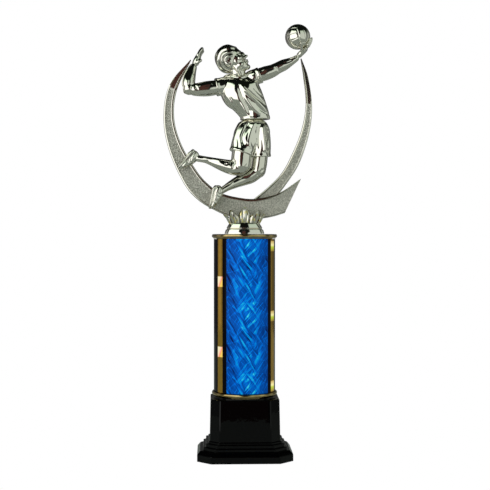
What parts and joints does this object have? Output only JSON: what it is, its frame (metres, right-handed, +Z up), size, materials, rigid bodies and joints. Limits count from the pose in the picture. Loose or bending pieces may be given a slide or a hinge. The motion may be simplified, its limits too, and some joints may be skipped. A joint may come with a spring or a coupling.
{
  "type": "column trophy",
  "caption": "Column award with a leaping volleyball figure inside a crescent, a round foil column between metal plates and a stepped black base, held by one rod.",
  "frame": {"origin": "middle of the felt underside that the trophy stands on", "axes": "+Z up through the rod; -Y is the front that the figure and the base's plain face show; +X is the side of the ball"},
  "size_m": [0.1233, 0.064, 0.3582],
  "materials": {
    "black_gloss": "gloss black moulded plastic",
    "felt": "pressed felt",
    "plaster": "cast plaster, rough",
    "steel": "zinc-plated steel",
    "antique_gold": "plated antique gold, polished",
    "foil_column": "hot-stamped metallic blue foil with black margins and gold foil stripes",
    "silver_mirror": "metallised plastic, mirror, pale champagne silver",
    "silver_satin": "metallised plastic, satin stippled field inside polished rims"
  },
  "bodies": {
    "root": {"base_pad": "felt", "base_shell": "black_gloss", "base_weight": "plaster", "base_washer": "steel", "base_nut": "steel", "tie_rod": "steel", "lower_plate": "antique_gold", "column_tube": "foil_column", "upper_plate": "antique_gold", "figure_nut": "steel", "pedestal": "silver_mirror", "petal_crown": "silver_mirror", "crescent_main": "silver_satin", "crescent_right": "silver_satin", "player_head": "silver_mirror", "player_jersey": "silver_mirror", "player_shorts": "silver_mirror", "arm_raised": "silver_mirror", "arm_ball": "silver_mirror", "leg_front": "silver_mirror", "leg_rear": "silver_mirror", "shoe_front": "silver_mirror", "shoe_rear": "silver_mirror", "volleyball": "silver_mirror"}
  },
  "joints": []
}
